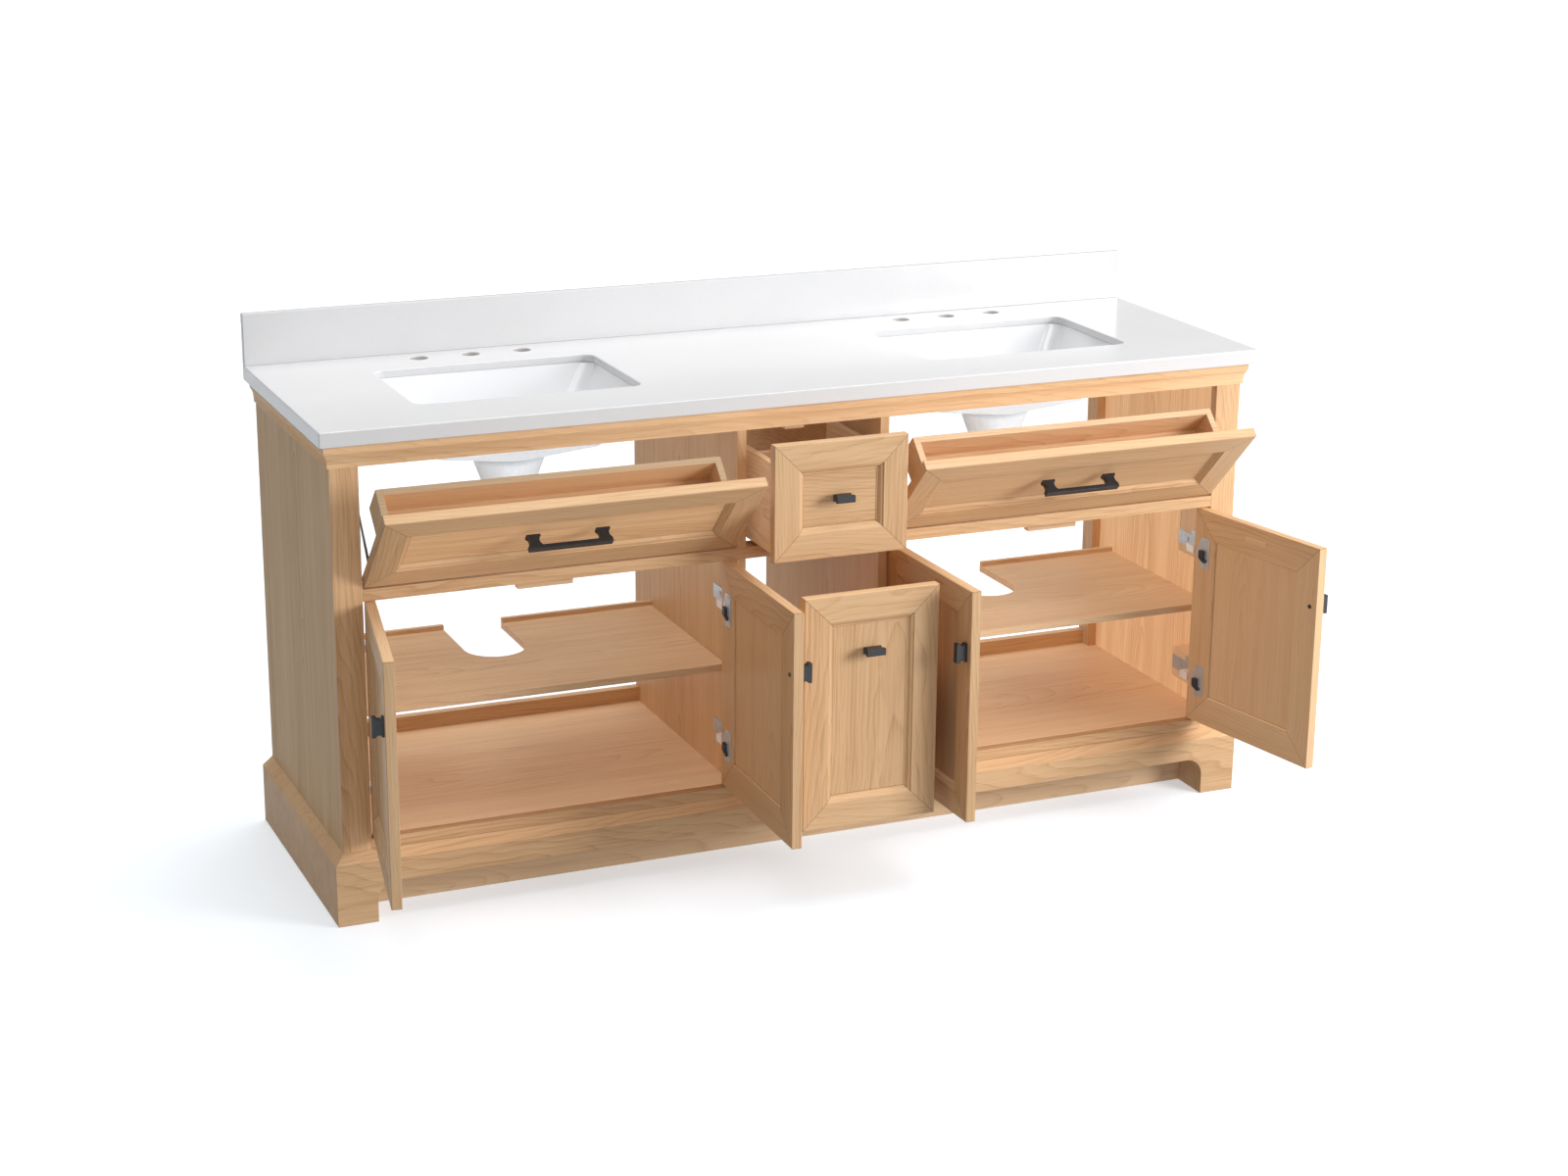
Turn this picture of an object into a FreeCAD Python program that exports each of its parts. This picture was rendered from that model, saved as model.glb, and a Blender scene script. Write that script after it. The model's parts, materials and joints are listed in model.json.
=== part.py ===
import FreeCAD, Part
import math
import os

from FreeCAD import Vector

os.makedirs("parts", exist_ok=True)

# Bathroom vanity with two basins. Millimetres, +Z up, cabinet front towards -Y,
# floor at Z = 0, symmetric about X = 0 apart from the tray boxes and stays.

# ---- overall sizes -------------------------------------------------------------
BACK = 436.0            # wall plane
FACE = -103.0           # front face of the cabinet face frame
CABINET_HALF = 905.5    # half width over the side panels
FACE_T = 20.0           # face frame thickness
SIDE_T = 12.0           # side panel thickness
SIDE_IN = CABINET_HALF - SIDE_T
BOARD_T = 18.0          # divider and floor thickness
CABINET_TOP = 880.0

# ---- countertop and basins ---------------------------------------------------------
COUNTER_HALF = 927.0
COUNTER_FRONT = -131.0
COUNTER_T = 28.0
COUNTER_TOP = CABINET_TOP + COUNTER_T
SPLASH_T = 14.0
SPLASH_H = 99.0
SINK_X = 503.0          # basin centre, each side
SINK_Y = 155.0
SINK_W = 428.0          # cut-out width
SINK_D = 286.0          # cut-out depth
SINK_R = 22.0           # cut-out corner radius
SLAB_T = 15.0           # stone left above the basin rims
WALL_FOOT = 786.0       # where the bowl's outside turns in under it
BOWL_BOTTOM = 768.0     # underside of the bowl at the drain boss
FLOOR_EDGE = 802.0      # inside, where the walls meet the dished floor
BOWL_FLOOR = 790.0      # inside, at the drain
DRAIN_R = 22.5
TAP_Y = 379.0
TAP_PITCH = 101.6
TAP_R = 17.5

# ---- face frame and openings -------------------------------------------------------------
STILE_IN = 853.7        # inner edge of the outer stiles
DIVIDER_IN = 134.0
DIVIDER_OUT = DIVIDER_IN + BOARD_T
BASE_TOP = 131.0
FLOOR_TOP = 151.5
MID_LOW = 593.9
MID_HIGH = 615.8
MID_DEPTH = 40.0
TOP_LOW = 837.5

# ---- base -----------------------------------------------------------------------------------
PLINTH_HALF = 925.0
PLINTH_FRONT = -125.2
PLINTH_FLAT_TOP = 115.0
PLINTH_ARCH = 74.5      # underside of the front board between the feet
FOOT_IN = 851.0
FOOT_R = 34.0
TOE_FRONT = -39.0
TOE_T = 15.0

# ---- doors -----------------------------------------------------------------------------------
PANEL_T = 19.0          # thickness of doors and fronts
GAP = 2.5
DOOR_W = 347.0
DOOR_LOW = 154.0
DOOR_H = 437.4
AXIS_IN = 8.0           # hinge axis in from the hinge edge
AXIS_BACK = 6.0         # hinge axis behind the face
OUTER_OPEN = 100.2      # degrees open, outer doors
INNER_OPEN = 89.1       # degrees open, inner doors
HINGE_Z = (240.0, 505.0)
KNOB_FROM_HINGE = 329.0
DOOR_KNOB_Z = 475.0

# ---- tilting trays -----------------------------------------------------------------------------
TRAY_LOW = 618.5
TRAY_H = 217.0
TRAY_W = 696.7
TRAY_OPEN = 45.0
TRAY_BOX_W = 627.5
TRAY_BOX_D = 58.5
TRAY_BOX_LOW = 143.0    # up the front from its lower edge
TRAY_BOX_H = 61.0
TRAY_WALL = 12.0
PULL_UP = 126.0
PULL_LEFT_SHIFT = -5.0  # left pull, measured from its front's middle
STAY_R = 168.2

# ---- centre drawers -----------------------------------------------------------------------------
DRAWER_W = 263.0
TOP_DRAWER_LOW = 618.3
TOP_DRAWER_H = 216.9
TOP_DRAWER_OUT = 126.0
LOW_DRAWER_OUT = 265.0
BOX_HALF = 120.0
BOX_WALL = 12.0

# ---- shelves ----------------------------------------------------------------------------------------
SHELF_TOP = 378.0
SHELF_T = 13.5
SHELF_FRONT = -53.0
SHELF_BACK = 349.0
SHELF_CUT_HALF = 59.0
SHELF_CUT_FRONT = 144.0
LIP_H = 9.0


def box(x0, x1, y0, y1, z0, z1):
    corner = Vector(min(x0, x1), min(y0, y1), min(z0, z1))
    return Part.makeBox(abs(x1 - x0), abs(y1 - y0), abs(z1 - z0), corner)


def cylinder(radius, length, centre, direction):
    return Part.makeCylinder(radius, length, Vector(*centre), Vector(*direction))


def prism(points, direction):
    """Solid swept from a closed outline of (x, y, z) points."""
    outline = [Vector(*p) for p in points]
    outline.append(outline[0])
    return Part.Face(Part.makePolygon(outline)).extrude(Vector(*direction))


def mirrored(shape):
    return shape.mirror(Vector(0, 0, 0), Vector(1, 0, 0))


def both_sides(shapes):
    pairs = list(shapes)
    for shape in shapes:
        pairs.append(mirrored(shape))
    return pairs


def moved(shape, x=0.0, y=0.0, z=0.0):
    copy = shape.copy()
    copy.translate(Vector(x, y, z))
    return copy


def rounded_outline(cx, cy, z, width, depth, radius):
    """Closed wire, a rectangle with rounded corners at height z."""
    hw = width / 2.0
    hd = depth / 2.0
    edges = []
    corners = ((1, 1, 0), (-1, 1, 90), (-1, -1, 180), (1, -1, 270))
    starts = []
    for sx, sy, angle in corners:
        ox = cx + sx * (hw - radius)
        oy = cy + sy * (hd - radius)
        points = []
        for step in (0, 45, 90):
            a = math.radians(angle + step)
            points.append(Vector(ox + radius * math.cos(a), oy + radius * math.sin(a), z))
        starts.append(points)
    for index, points in enumerate(starts):
        edges.append(Part.Arc(*points).toShape())
        following = starts[(index + 1) % 4]
        edges.append(Part.makeLine(points[2], following[0]))
    return Part.Wire(edges)


def rounded_block(cx, cy, z0, z1, low, high):
    """Tapered block; low and high are (width, depth, radius) at z0 and z1."""
    bottom = rounded_outline(cx, cy, z0, *low)
    top = rounded_outline(cx, cy, z1, *high)
    return Part.makeLoft([bottom, top], True, True)


NODES = {}


def save(node, shapes):
    solids = []
    for shape in shapes:
        solids.extend(shape.Solids)
    NODES[node] = len(solids)
    Part.makeCompound(solids).exportStep("parts/" + node + ".step")


# ---- framed panels used for doors, tray fronts and drawer fronts ------------------------------------
FRAME_W = 59.3
MOULD_W = 11.0
RECESS = 9.0            # panel face behind the frame face
FIELD_T = 6.0           # panel thickness
TONGUE = 7.0            # panel depth in the frame groove
ARRIS = 1.2
FRAME_PROFILE = (
    (0.0, ARRIS), (ARRIS, 0.0), (FRAME_W - MOULD_W, 0.0),
    (FRAME_W - MOULD_W, 1.6), (FRAME_W - MOULD_W + 4.5, 3.4),
    (FRAME_W - 2.2, RECESS - 0.7), (FRAME_W, RECESS - 0.7), (FRAME_W, RECESS),
    (FRAME_W - TONGUE - 1.0, RECESS), (FRAME_W - TONGUE - 1.0, RECESS + FIELD_T),
    (FRAME_W, RECESS + FIELD_T), (FRAME_W, PANEL_T - 1.5),
    (FRAME_W - 1.5, PANEL_T), (0.0, PANEL_T),
)


def frame_member(length):
    """One mitred moulding lying along X, outer edge down, face towards -Y."""
    bar = prism([(0.0, depth, inward) for inward, depth in FRAME_PROFILE], (length, 0, 0))
    mitre = prism(
        [(0, -5, 0), (length, -5, 0), (length - FRAME_W, -5, FRAME_W), (FRAME_W, -5, FRAME_W)],
        (0, PANEL_T + 10, 0))
    return bar.common(mitre)


def front_frame(width, height):
    """Four mitred members; lower left front corner at the origin."""
    members = []
    places = ((0, width, 0, 0), (-90, height, width, 0), (180, width, width, height),
              (90, height, 0, height))
    for angle, length, x, z in places:
        member = frame_member(length)
        member.rotate(Vector(0, 0, 0), Vector(0, 1, 0), angle)
        members.append(moved(member, x, 0, z))
    return members


def front_field(width, height):
    inset = FRAME_W - TONGUE
    return box(inset, width - inset, RECESS, RECESS + FIELD_T, inset, height - inset)


def knob(x, y, z, upright):
    """Bar knob standing out towards -Y from a surface at y."""
    half = ((0, 0), (17.5, 0), (17.5, -3.5), (14.5, -5.5), (13.5, -9.0), (14.5, -12.0),
            (18.2, -14.5), (18.2, -21.0), (0, -21.0))
    side = prism([(across, out, -6.5) for across, out in half], (0, 0, 13.0))
    body = side.fuse(mirrored(side)).removeSplitter()
    if upright:
        body.rotate(Vector(0, 0, 0), Vector(0, 1, 0), 90)
    return moved(body, x, y, z)


# ---- countertop, splash and basins ------------------------------------------------------------------------
counter = box(-COUNTER_HALF, COUNTER_HALF, COUNTER_FRONT, BACK, CABINET_TOP, COUNTER_TOP)
for side in (-1, 1):
    cut_size = (SINK_W, SINK_D, SINK_R)
    counter = counter.cut(rounded_block(side * SINK_X, SINK_Y, CABINET_TOP - 1,
                                        COUNTER_TOP + 1, cut_size, cut_size))
    rebate = (SINK_W + 50, SINK_D + 50, 33)
    counter = counter.cut(rounded_block(side * SINK_X, SINK_Y, CABINET_TOP - 1,
                                        COUNTER_TOP - SLAB_T, rebate, rebate))
    for offset in (-TAP_PITCH, 0.0, TAP_PITCH):
        hole = cylinder(TAP_R, COUNTER_T + 2,
                        (side * SINK_X + offset, TAP_Y, CABINET_TOP - 1), (0, 0, 1))
        counter = counter.cut(hole)
save("countertop", [counter])
save("backsplash", [box(-COUNTER_HALF, COUNTER_HALF, BACK - SPLASH_T, BACK,
                        COUNTER_TOP, COUNTER_TOP + SPLASH_H)])

for name, side in (("sink_left", -1), ("sink_right", 1)):
    cx = side * SINK_X
    rim = COUNTER_TOP - SLAB_T
    flange = rounded_block(cx, SINK_Y, rim - 9, rim,
                           (SINK_W + 44, SINK_D + 44, 30), (SINK_W + 44, SINK_D + 44, 30))
    foot = (SINK_W - 106, SINK_D - 108, 36)
    shell = rounded_block(cx, SINK_Y, WALL_FOOT, rim - 9, foot, (SINK_W + 18, SINK_D + 18, 30))
    dish = rounded_block(cx, SINK_Y, BOWL_BOTTOM, WALL_FOOT, (139, 139, 69), foot)
    boss = Part.makeCone(50, 70, BOWL_BOTTOM - 714, Vector(cx, SINK_Y, 714), Vector(0, 0, 1))
    tail = cylinder(32, 16, (cx, SINK_Y, 700), (0, 0, 1))
    bowl = flange.fuse(shell).fuse(dish).fuse(boss).fuse(tail)
    floor_edge = (SINK_W - 122, SINK_D - 124, 30)
    walls = rounded_block(cx, SINK_Y, FLOOR_EDGE, rim, floor_edge, (SINK_W + 2, SINK_D + 2, 23))
    hollow = rounded_block(cx, SINK_Y, BOWL_FLOOR, FLOOR_EDGE, (60, 60, 29), floor_edge)
    drain = cylinder(DRAIN_R, 120, (cx, SINK_Y, 690), (0, 0, 1))
    save(name, [bowl.cut(walls.fuse(hollow)).cut(drain).removeSplitter()])

# ---- carcass -------------------------------------------------------------------------------------------------
FRAME_BACK = FACE + FACE_T
save("side_panel_left", [box(-CABINET_HALF, -SIDE_IN, FRAME_BACK, BACK, 0, CABINET_TOP)])
save("side_panel_right", [box(SIDE_IN, CABINET_HALF, FRAME_BACK, BACK, 0, CABINET_TOP)])

divider = box(DIVIDER_IN, DIVIDER_OUT, FACE, BACK, FLOOR_TOP, CABINET_TOP)
divider = divider.cut(box(100, 200, FACE - 1, FACE + MID_DEPTH, MID_LOW, MID_HIGH))
divider = divider.cut(box(100, 200, FACE - 1, FRAME_BACK, TOP_LOW, CABINET_TOP + 1))
save("divider_right", [divider])
save("divider_left", [mirrored(divider)])

save("face_stiles", both_sides([box(STILE_IN, CABINET_HALF, FACE, FRAME_BACK,
                                    BASE_TOP, CABINET_TOP)]))
save("face_rails", [
    box(-STILE_IN, STILE_IN, FACE, FRAME_BACK, BASE_TOP, FLOOR_TOP),
    box(-STILE_IN, STILE_IN, FACE, FACE + MID_DEPTH, MID_LOW, MID_HIGH),
    box(-STILE_IN, STILE_IN, FACE, FRAME_BACK, TOP_LOW, CABINET_TOP)])

# crown moulding: (projection, height) outline, mitred at the two front corners
CROWN = ((0.0, TOP_LOW), (3.5, TOP_LOW), (3.5, 845.0), (4.3, 852.0), (6.4, 859.0),
         (9.6, 864.0), (9.6, 866.0), (10.6, 867.0), (10.6, CABINET_TOP), (0.0, CABINET_TOP))
reach = 12.0
crown_front = prism([(-CABINET_HALF - reach, FACE - out, up) for out, up in CROWN],
                    (2 * (CABINET_HALF + reach), 0, 0))
front_mitre = prism([(-CABINET_HALF - reach, FACE - reach, 830),
                     (CABINET_HALF + reach, FACE - reach, 830),
                     (CABINET_HALF, FACE, 830), (-CABINET_HALF, FACE, 830)], (0, 0, 60))
crown_side = prism([(CABINET_HALF + out, FACE - reach, up) for out, up in CROWN],
                   (0, BACK - FACE + reach, 0))
side_mitre = prism([(CABINET_HALF, FACE, 830), (CABINET_HALF + reach, FACE - reach, 830),
                    (CABINET_HALF + reach, BACK, 830), (CABINET_HALF, BACK, 830)], (0, 0, 60))
save("crown_moulding", [crown_front.common(front_mitre)]
     + both_sides([crown_side.common(side_mitre)]))

# base skirting: front board with two feet, two side boards, mitred corners
skirt_out = PLINTH_HALF - CABINET_HALF
front_t = FACE - PLINTH_FRONT
skirt_front = prism([(-PLINTH_HALF, PLINTH_FRONT, 0), (-PLINTH_HALF, PLINTH_FRONT, PLINTH_FLAT_TOP),
                     (-PLINTH_HALF, FACE, BASE_TOP), (-PLINTH_HALF, FACE, 0)],
                    (2 * PLINTH_HALF, 0, 0))
skirt_mitre = prism([(-PLINTH_HALF, PLINTH_FRONT, -1), (PLINTH_HALF, PLINTH_FRONT, -1),
                     (CABINET_HALF, FACE, -1), (-CABINET_HALF, FACE, -1)], (0, 0, 140))
arch = box(-FOOT_IN, FOOT_IN, PLINTH_FRONT - 1, FACE + 1, -1, PLINTH_ARCH)
arch_edges = []
for edge in arch.Edges:
    centre = edge.CenterOfMass
    along_y = abs(edge.Vertexes[0].Y - edge.Vertexes[1].Y) > 1
    if along_y and centre.z > 1:
        arch_edges.append(edge)
arch = arch.makeFillet(FOOT_R, arch_edges)
skirt_side = prism([(PLINTH_HALF, PLINTH_FRONT, 0), (PLINTH_HALF, PLINTH_FRONT, PLINTH_FLAT_TOP),
                    (CABINET_HALF, PLINTH_FRONT, BASE_TOP), (CABINET_HALF, PLINTH_FRONT, 0)],
                   (0, BACK - PLINTH_FRONT, 0))
skirt_side_mitre = prism([(CABINET_HALF, FACE, -1), (PLINTH_HALF, PLINTH_FRONT, -1),
                          (PLINTH_HALF, BACK, -1), (CABINET_HALF, BACK, -1)], (0, 0, 140))
save("base_skirting", [skirt_front.common(skirt_mitre).cut(arch)]
     + both_sides([skirt_side.common(skirt_side_mitre)]))

# corner blocks behind the feet and the set-back toe board
foot_block = box(FOOT_IN, CABINET_HALF, FACE, FRAME_BACK, 0, BASE_TOP)
foot_block = foot_block.fuse(box(FOOT_IN, SIDE_IN, FRAME_BACK, TOE_FRONT, 0, BASE_TOP))
save("foot_blocks", both_sides([foot_block.removeSplitter()]))
save("toe_board", [box(-SIDE_IN, SIDE_IN, TOE_FRONT, TOE_FRONT + TOE_T, 0, BASE_TOP)])

floor_panel = box(-SIDE_IN, SIDE_IN, FRAME_BACK, BACK, FLOOR_TOP - BOARD_T, FLOOR_TOP)
POST_IN = 874.0
POST_FRONT = 394.0
save("floor_panel", [floor_panel.cut(box(POST_IN, SIDE_IN + 1, POST_FRONT, BACK + 1, 100, 200))
                     .cut(box(-SIDE_IN - 1, -POST_IN, POST_FRONT, BACK + 1, 100, 200))])

# rear frame: two corner posts, low rails and top rails in the side bays
RAIL_T = 19.0
save("back_frame", both_sides([
    box(POST_IN, SIDE_IN, POST_FRONT, BACK, 0, CABINET_TOP),
    box(DIVIDER_OUT, POST_IN, BACK - RAIL_T, BACK, FLOOR_TOP, FLOOR_TOP + 30),
    box(DIVIDER_OUT, POST_IN, BACK - RAIL_T, BACK, CABINET_TOP - 60, CABINET_TOP)]))
save("centre_back_panel", [box(-DIVIDER_IN, DIVIDER_IN, BACK - 12, BACK, 635, CABINET_TOP)])

# ---- shelves --------------------------------------------------------------------------------------------------
shelf_cx = (DIVIDER_OUT + SIDE_IN) / 2.0
shelf = box(DIVIDER_OUT + 0.5, SIDE_IN - 0.5, SHELF_FRONT, SHELF_BACK,
            SHELF_TOP - SHELF_T, SHELF_TOP)
lip = box(DIVIDER_OUT + 0.5, SIDE_IN - 0.5, SHELF_BACK - 10, SHELF_BACK,
          SHELF_TOP, SHELF_TOP + LIP_H)
cut_y = SHELF_CUT_FRONT + SHELF_CUT_HALF
u_cut = cylinder(SHELF_CUT_HALF, 60, (shelf_cx, cut_y, SHELF_TOP - 30), (0, 0, 1))
u_cut = u_cut.fuse(box(shelf_cx - SHELF_CUT_HALF, shelf_cx + SHELF_CUT_HALF, cut_y,
                       SHELF_BACK + 1, SHELF_TOP - 30, SHELF_TOP + 30))
shelf = shelf.fuse(lip).cut(u_cut).removeSplitter()
save("shelf_right", [shelf])
save("shelf_left", [mirrored(shelf)])

pins = []
for y in (SHELF_FRONT + 77, SHELF_BACK - 40):
    pins.append(cylinder(2.5, 10, (DIVIDER_OUT, y, SHELF_TOP - SHELF_T - 2.5), (1, 0, 0)))
    pins.append(cylinder(2.5, 10, (SIDE_IN - 10, y, SHELF_TOP - SHELF_T - 2.5), (1, 0, 0)))
save("shelf_pins", both_sides(pins))

# ---- doors ---------------------------------------------------------------------------------------------------------
CUP_R = 17.5
CUP_X = 27.0
CUP_DEPTH = 11.5
FLANGE_T = 1.6


def hinge_flange(z):
    """Cup plate on the door back, with a cup let into the door, two screws and the links."""
    outline = ((9, -8), (22, -31.5), (41, -31.5), (45, -27), (45, 27), (41, 31.5), (22, 31.5),
               (9, 8))
    top = PANEL_T + FLANGE_T
    plate = prism([(x, PANEL_T, z + dz) for x, dz in outline], (0, FLANGE_T, 0))
    cup = cylinder(CUP_R, CUP_DEPTH, (CUP_X, PANEL_T - CUP_DEPTH, z), (0, 1, 0))
    pieces = [plate.fuse(cup)]
    for dz in (-24.0, 24.0):
        pieces.append(cylinder(3.6, 1.0, (CUP_X + 7, top, z + dz), (0, 1, 0)))
    pieces.append(box(19.5, 33, top, top + 6, z - 10, z + 5))
    lower_link = ((19.5, -12.5), (33, -19), (38, -18), (39, -13), (33, -10.5), (19.5, -10.5))
    pieces.append(prism([(x, top, z + dz) for x, dz in lower_link], (0, 4.5, 0)))
    return pieces


def door(name, side, hinge_x, opening, strike):
    """side is +1 when the free edge is towards +X of the hinge edge."""
    pocket = []
    for z in HINGE_Z:
        pocket.append(cylinder(CUP_R, CUP_DEPTH + 1, (CUP_X, PANEL_T - CUP_DEPTH, z - DOOR_LOW),
                               (0, 1, 0)))
    frame = []
    for member in front_frame(DOOR_W, DOOR_H):
        for hole in pocket:
            member = member.cut(hole)
        frame.append(member)
    handle = [knob(KNOB_FROM_HINGE, 0, DOOR_KNOB_Z - DOOR_LOW, True),
              cylinder(4.0, 1.4, (KNOB_FROM_HINGE, PANEL_T, DOOR_KNOB_Z - DOOR_LOW), (0, 1, 0))]
    hardware = []
    for z in HINGE_Z:
        hardware.extend(hinge_flange(z - DOOR_LOW))
    if strike:
        frame.append(box(146, 203, PANEL_T, PANEL_T + 2.0, 404, 414))
    axis = Vector(hinge_x + side * AXIS_IN, FACE + AXIS_BACK, 0)
    groups = (("frame", frame), ("panel", [front_field(DOOR_W, DOOR_H)]),
              ("knob", handle), ("hinge_cups", hardware))
    for suffix, shapes in groups:
        placed = []
        for shape in shapes:
            if side < 0:
                shape = mirrored(shape)
            shape = moved(shape, hinge_x, FACE, DOOR_LOW)
            shape.rotate(axis, Vector(0, 0, 1), -side * opening)
            placed.append(shape)
        save(name + "_" + suffix, placed)


door("door_left_outer", 1, -(STILE_IN - GAP), OUTER_OPEN, True)
door("door_left_inner", -1, -(DIVIDER_OUT + GAP), INNER_OPEN, False)
door("door_right_inner", 1, DIVIDER_OUT + GAP, INNER_OPEN, False)
door("door_right_outer", -1, STILE_IN - GAP, OUTER_OPEN, True)

# hinge arms on the cabinet: plate, block and arm for each of the eight hinges
ARM_FRONT = FACE + 22.6
arms = []
for edge, into in ((DIVIDER_OUT, 1), (STILE_IN, -1)):
    for z in HINGE_Z:
        plate = box(edge, edge + into * 2, FACE + 45, FACE + 110, z - 12, z + 15)
        tab = box(edge, edge + into * 2, FACE + 45, FACE + 61, z, z + 26)
        arm = box(edge, edge + into * 20, ARM_FRONT, FACE + 50, z - 11.5, z + 2.5)
        screw = cylinder(5, 1.5, (edge + into * 2, FACE + 78, z + 2), (into, 0, 0))
        arms.append(plate.fuse(tab).fuse(arm).fuse(screw).removeSplitter())
save("hinge_arms", both_sides(arms))

# ---- trays ------------------------------------------------------------------------------------------------------------
def pull_handle(cx):
    """Bar pull on two waisted posts, standing out towards -Y; posts 128 between centres."""
    half = ((0, -21.5), (51, -21.5), (54.5, -17), (55.5, -12), (54.5, -7), (51, -4), (51, 0),
            (77, 0), (77, -4), (73.5, -7), (72.5, -12), (73.5, -17), (77, -21.5), (77, -29.5),
            (0, -29.5))
    side = prism([(across, out, -6.2) for across, out in half], (0, 0, 12.4))
    return moved(side.fuse(mirrored(side)).removeSplitter(), cx, 0, PULL_UP)


def tray(name, left, pull_shift):
    """Tray front hinged along its lower front edge; left is the X of its left end."""
    width = TRAY_W
    y0 = PANEL_T
    y1 = PANEL_T + TRAY_BOX_D
    z0 = TRAY_BOX_LOW
    z1 = TRAY_BOX_LOW + TRAY_BOX_H
    x0 = 2.2
    x1 = x0 + TRAY_BOX_W
    wall = TRAY_WALL
    caddy = [
        box(x0, x0 + wall, y0, y1, z0, z1),
        box(x1 - wall, x1, y0, y1, z0, z1),
        box(x0 + wall, x1 - wall, y1 - wall, y1, z0, z1),
        box(x0 + wall, x1 - wall, y0, y1 - wall, z0, z0 + 6)]
    bracket = box(x1 - 26, x1 - 2, y1, y1 + 1.5, z1 - 20, z1 - 6)
    strap_x = 0.2
    strap = prism([(strap_x, PANEL_T, 57), (strap_x, PANEL_T, 70), (strap_x, 85, 76),
                   (strap_x, 150, 84), (strap_x, 150, 77.5), (strap_x, 85, 69.5)],
                  (2.0, 0, 0))
    angle = math.atan2(80.9, 147.5)
    pin_at = (strap_x - 2.4, STAY_R * math.cos(angle), STAY_R * math.sin(angle))
    strap = strap.fuse(cylinder(2.0, 2.8, pin_at, (1, 0, 0)))
    foot = box(strap_x + 1.0, 20, PANEL_T, PANEL_T + 1.5, 57, 70)
    strap = strap.fuse(foot).removeSplitter()
    groups = (("front_frame", front_frame(width, TRAY_H)),
              ("front_panel", [front_field(width, TRAY_H)]),
              ("box", caddy), ("pull", [pull_handle(width / 2.0 + pull_shift)]),
              ("stay", [strap, bracket]))
    for suffix, shapes in groups:
        placed = []
        for shape in shapes:
            shape = moved(shape, left, FACE, TRAY_LOW)
            shape.rotate(Vector(0, FACE, TRAY_LOW), Vector(1, 0, 0), TRAY_OPEN)
            placed.append(shape)
        save(name + "_" + suffix, placed)


TRAY_END = DIVIDER_OUT + GAP
tray("tray_left", -(TRAY_END + TRAY_W), PULL_LEFT_SHIFT)
tray("tray_right", TRAY_END, 0.0)

# slotted guide plates for the tray stays
def guide(x):
    """Ring sector 2 thick, pierced by an arc slot, starting at x."""
    start = 24.0
    sweep = 55.0
    plate = Part.makeCylinder(STAY_R + 11, 2.0, Vector(x, FACE, TRAY_LOW), Vector(1, 0, 0), sweep)
    plate = plate.cut(cylinder(STAY_R - 11, 4.0, (x - 1, FACE, TRAY_LOW), (1, 0, 0)))
    slot = Part.makeCylinder(STAY_R + 3, 4.0, Vector(x - 1, FACE, TRAY_LOW), Vector(1, 0, 0),
                             sweep - 7)
    slot = slot.cut(cylinder(STAY_R - 3, 6.0, (x - 2, FACE, TRAY_LOW), (1, 0, 0)))
    lead = first_direction(plate)
    plate.rotate(Vector(x, FACE, TRAY_LOW), Vector(1, 0, 0), start - lead)
    slot.rotate(Vector(x, FACE, TRAY_LOW), Vector(1, 0, 0), start + 3.5 - lead)
    return plate.cut(slot)


def first_direction(sector):
    """Angle of the sector's first flat end, measured from +Y about +X."""
    angles = []
    for vertex in sector.Vertexes:
        angle = math.degrees(math.atan2(vertex.Z - TRAY_LOW, vertex.Y - FACE)) % 360
        angles.append(angle)
    low = min(angles)
    high = max(angles)
    return low if high - low < 180 else high


save("stay_guides", [guide(-STILE_IN), guide(DIVIDER_OUT)])

# wooden packers and stop blocks glued inside the frame
packers = [box(STILE_IN, SIDE_IN, FACE + 50, FACE + 112, HINGE_Z[0] - 30, HINGE_Z[0] + 32),
           box(STILE_IN, SIDE_IN, FACE + 50, FACE + 112, HINGE_Z[1] - 30, MID_LOW)]
blocks = both_sides(packers)
blocks.append(box(-SIDE_IN, -STILE_IN, FACE + 30, FACE + 180, 672, 700))
for cx in (-513.0, 513.0):
    blocks.append(box(cx - 52, cx + 52, FACE + 21.5, FACE + 39, 578, MID_LOW))
blocks.append(box(-50, -12, FRAME_BACK, FACE + 38, 826, CABINET_TOP - 20))
save("packers_and_stops", blocks)

# ---- centre drawers -----------------------------------------------------------------------------------------------------
RAIL_FRONT = FACE + 43.0


def drawer(name, low, height, out, box_low, box_high, depth, knob_z, partition):
    front_y = FACE - out
    left = -DRAWER_W / 2.0
    frame = [moved(s, left, front_y, low) for s in front_frame(DRAWER_W, height)]
    field = [moved(front_field(DRAWER_W, height), left, front_y, low)]
    y0 = front_y + PANEL_T
    y1 = y0 + depth
    inner = BOX_HALF - BOX_WALL
    sides = [
        box(-BOX_HALF, -inner, y0, y1, box_low, box_high),
        box(inner, BOX_HALF, y0, y1, box_low, box_high),
        box(-inner, inner, y0, y0 + BOX_WALL, box_low, box_high),
        box(-inner, inner, y1 - BOX_WALL, y1, box_low, box_high),
        box(-inner, inner, y0 + BOX_WALL, y1 - BOX_WALL, box_low + 6, box_low + 12)]
    if partition:
        sides.append(box(-inner, inner, partition, partition + BOX_WALL, box_low + 12, box_high))
    rail_z = (box_low + box_high) / 2.0 - 30
    rails = both_sides([box(BOX_HALF, BOX_HALF + 9, RAIL_FRONT, y1, rail_z - 10, rail_z + 10)])
    save(name + "_front_frame", frame)
    save(name + "_front_panel", field)
    save(name + "_box", sides)
    save(name + "_knob", [moved(knob(0, 0, 0, False), 0, front_y, knob_z)])
    save(name + "_slides", rails)
    return rail_z


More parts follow.
